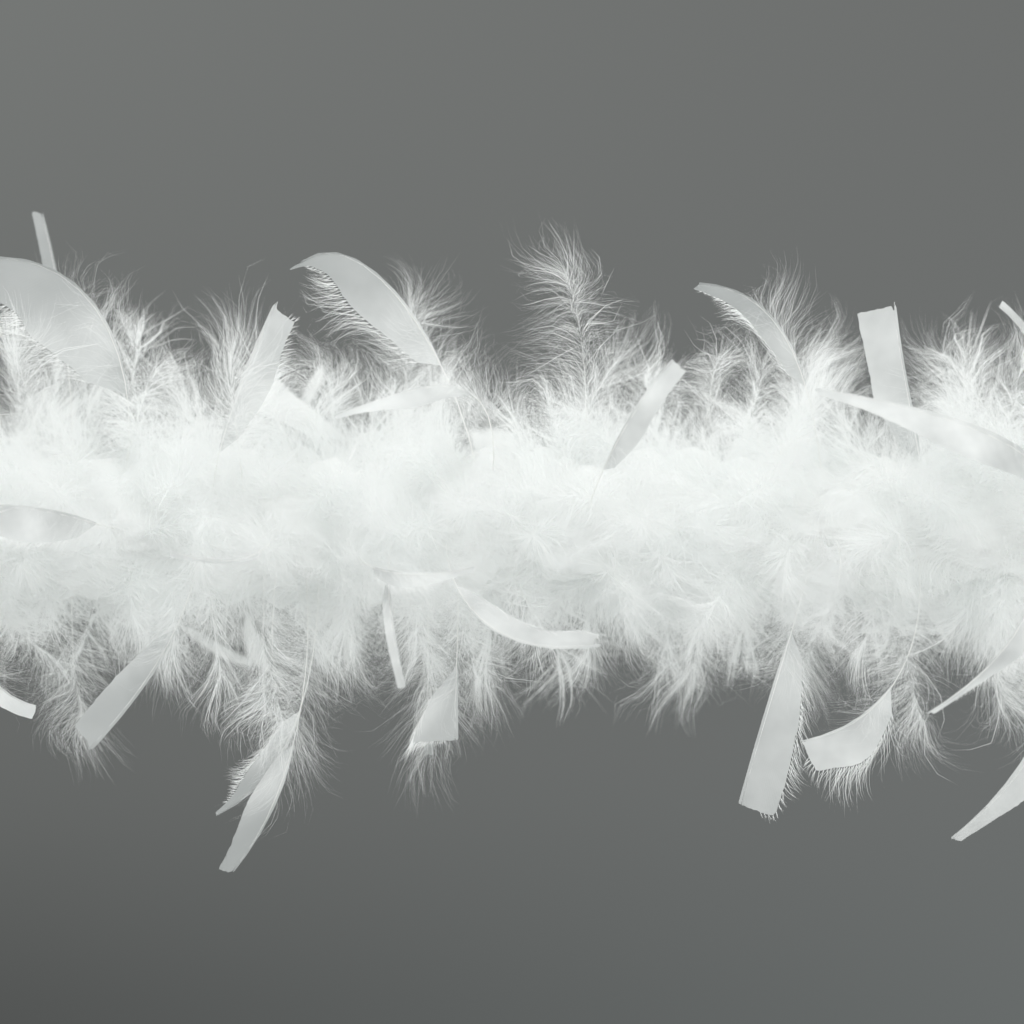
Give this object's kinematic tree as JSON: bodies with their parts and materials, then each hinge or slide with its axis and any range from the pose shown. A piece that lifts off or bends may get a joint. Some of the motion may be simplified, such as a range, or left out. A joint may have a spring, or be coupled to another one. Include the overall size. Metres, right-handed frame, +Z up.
{
  "type": "feather boa",
  "caption": "White feather boa: a twisted cord bound all round with fluffy turkey flat feathers, limp enough to drape, with a hang loop at each end.",
  "frame": {"origin": "middle of the cord, on its centre line, half way between the two ends", "axes": "+X along the cord towards the right-hand end, +Z up, +Y away from the viewer when the boa is seen from the front"},
  "size_m": [1.83, 0.204, 0.204],
  "materials": {
    "feather": "satin",
    "down": "matte",
    "cord": "matte",
    "thread": "satin"
  },
  "bodies": {
    "segment_01": {"cord_01": "cord", "binding_thread_01": "thread", "down_sleeve_01": "down", "feathers_01": "feather", "whipping_left": "thread", "hang_loop_left": "cord"},
    "segment_02": {"cord_02": "cord", "binding_thread_02": "thread", "down_sleeve_02": "down", "feathers_02": "feather"},
    "segment_03": {"cord_03": "cord", "binding_thread_03": "thread", "down_sleeve_03": "down", "feathers_03": "feather"},
    "segment_04": {"cord_04": "cord", "binding_thread_04": "thread", "down_sleeve_04": "down", "feathers_04": "feather"},
    "segment_05": {"cord_05": "cord", "binding_thread_05": "thread", "down_sleeve_05": "down", "feathers_05": "feather"},
    "segment_06": {"cord_06": "cord", "binding_thread_06": "thread", "down_sleeve_06": "down", "feathers_06": "feather"},
    "segment_07": {"cord_07": "cord", "binding_thread_07": "thread", "down_sleeve_07": "down", "feathers_07": "feather"},
    "segment_08": {"cord_08": "cord", "binding_thread_08": "thread", "down_sleeve_08": "down", "feathers_08": "feather"},
    "segment_09": {"cord_09": "cord", "binding_thread_09": "thread", "down_sleeve_09": "down", "feathers_09": "feather"},
    "segment_10": {"cord_10": "cord", "binding_thread_10": "thread", "down_sleeve_10": "down", "feathers_10": "feather"},
    "segment_11": {"cord_11": "cord", "binding_thread_11": "thread", "down_sleeve_11": "down", "feathers_11": "feather"},
    "segment_12": {"cord_12": "cord", "binding_thread_12": "thread", "down_sleeve_12": "down", "feathers_12": "feather"},
    "segment_13": {"cord_13": "cord", "binding_thread_13": "thread", "down_sleeve_13": "down", "feathers_13": "feather", "whipping_right": "thread", "hang_loop_right": "cord"}
  },
  "joints": [
    {"name": "bend_1_left", "type": "hinge", "parent": "segment_07", "child": "segment_06", "pos_m": [-0.068, 0, 0], "axis": [0, 1, 0], "range_deg": [-60, 60], "deforming": ["feathers_06", "feathers_07"]},
    {"name": "bend_1_right", "type": "hinge", "parent": "segment_07", "child": "segment_08", "pos_m": [0.068, 0, 0], "axis": [0, 1, 0], "range_deg": [-60, 60], "deforming": ["feathers_08"]},
    {"name": "bend_2_left", "type": "hinge", "parent": "segment_06", "child": "segment_05", "pos_m": [-0.204, 0, 0], "axis": [0, 0, 1], "range_deg": [-60, 60], "deforming": ["feathers_05"]},
    {"name": "bend_2_right", "type": "hinge", "parent": "segment_08", "child": "segment_09", "pos_m": [0.204, 0, 0], "axis": [0, 0, 1], "range_deg": [-60, 60], "deforming": ["feathers_09"]},
    {"name": "bend_3_left", "type": "hinge", "parent": "segment_05", "child": "segment_04", "pos_m": [-0.34, 0, 0], "axis": [0, 1, 0], "range_deg": [-60, 60], "deforming": ["feathers_04"]},
    {"name": "bend_3_right", "type": "hinge", "parent": "segment_09", "child": "segment_10", "pos_m": [0.34, 0, 0], "axis": [0, 1, 0], "range_deg": [-60, 60], "deforming": ["feathers_10"]},
    {"name": "bend_4_left", "type": "hinge", "parent": "segment_04", "child": "segment_03", "pos_m": [-0.476, 0, 0], "axis": [0, 0, 1], "range_deg": [-60, 60], "deforming": ["feathers_03"]},
    {"name": "bend_4_right", "type": "hinge", "parent": "segment_10", "child": "segment_11", "pos_m": [0.476, 0, 0], "axis": [0, 0, 1], "range_deg": [-60, 60], "deforming": ["feathers_11"]},
    {"name": "bend_5_left", "type": "hinge", "parent": "segment_03", "child": "segment_02", "pos_m": [-0.612, 0, 0], "axis": [0, 1, 0], "range_deg": [-60, 60], "deforming": ["feathers_02"]},
    {"name": "bend_5_right", "type": "hinge", "parent": "segment_11", "child": "segment_12", "pos_m": [0.612, 0, 0], "axis": [0, 1, 0], "range_deg": [-60, 60], "deforming": ["feathers_12"]},
    {"name": "bend_6_left", "type": "hinge", "parent": "segment_02", "child": "segment_01", "pos_m": [-0.748, 0, 0], "axis": [0, 0, 1], "range_deg": [-60, 60], "deforming": ["feathers_01"]},
    {"name": "bend_6_right", "type": "hinge", "parent": "segment_12", "child": "segment_13", "pos_m": [0.748, 0, 0], "axis": [0, 0, 1], "range_deg": [-60, 60], "deforming": ["feathers_13"]}
  ]
}
